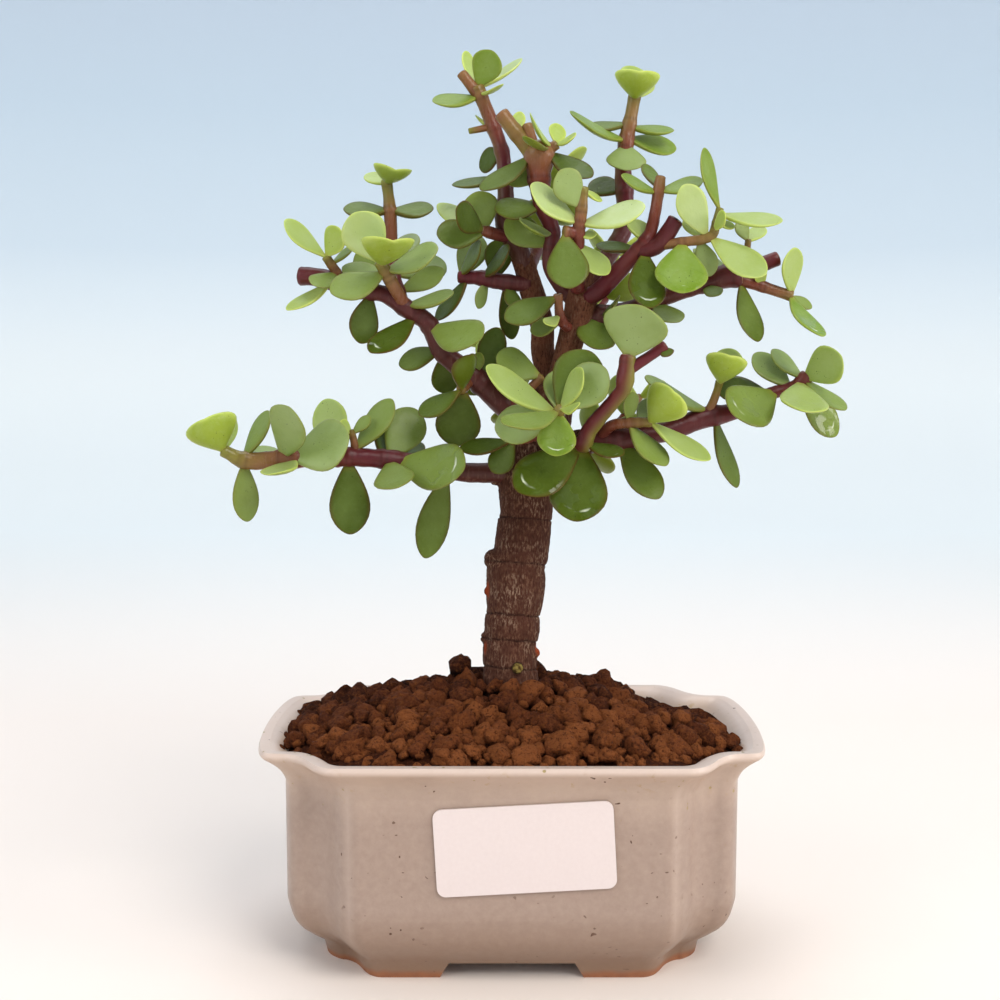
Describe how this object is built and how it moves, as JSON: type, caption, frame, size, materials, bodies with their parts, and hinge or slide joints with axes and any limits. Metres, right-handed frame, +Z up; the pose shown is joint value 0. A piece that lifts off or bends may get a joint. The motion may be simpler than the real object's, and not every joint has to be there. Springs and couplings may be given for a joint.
{
  "type": "dwarf jade bonsai",
  "caption": "Dwarf jade trained as a small bonsai: a jointed upright trunk, branching limbs with oval fleshy leaves, and a cut-cornered glazed pot filled with granular soil.",
  "frame": {"origin": "on the ground, under the middle of the pot", "axes": "+Z up along the trunk, -Y towards the front, where the label is, +X to the right seen from the front"},
  "size_m": [0.1911, 0.0993, 0.2683],
  "materials": {
    "glaze": "taupe grey stoneware glaze with small iron specks, satin gloss",
    "label": "smooth pale sticker film, blank",
    "screen": "black moulded mesh",
    "soil": "damp red-brown baked clay granules",
    "bark": "brown bark with fine grey streaks, crimson where young",
    "leaf": "fleshy green leaf with a waxy sheen and thin reddish edge"
  },
  "bodies": {
    "root": {"pot": "glaze", "label": "label", "drain_screen_left": "screen", "drain_screen_right": "screen", "soil": "soil", "trunk": "bark", "low_left_spray": "leaf", "left_limb_spray": "leaf", "left_twig_spray": "leaf", "left_leader_spray": "leaf", "top_centre_spray": "leaf", "centre_shoot_spray": "leaf", "crimson_spray": "leaf", "right_limb_spray": "leaf", "right_leader_spray": "leaf", "low_right_spray": "leaf", "front_shoot_spray": "leaf", "front_rosette_spray": "leaf", "fork_spray": "leaf", "back_low_spray": "leaf", "back_left_spray": "leaf", "back_centre_spray": "leaf", "back_top_spray": "leaf"}
  },
  "joints": []
}
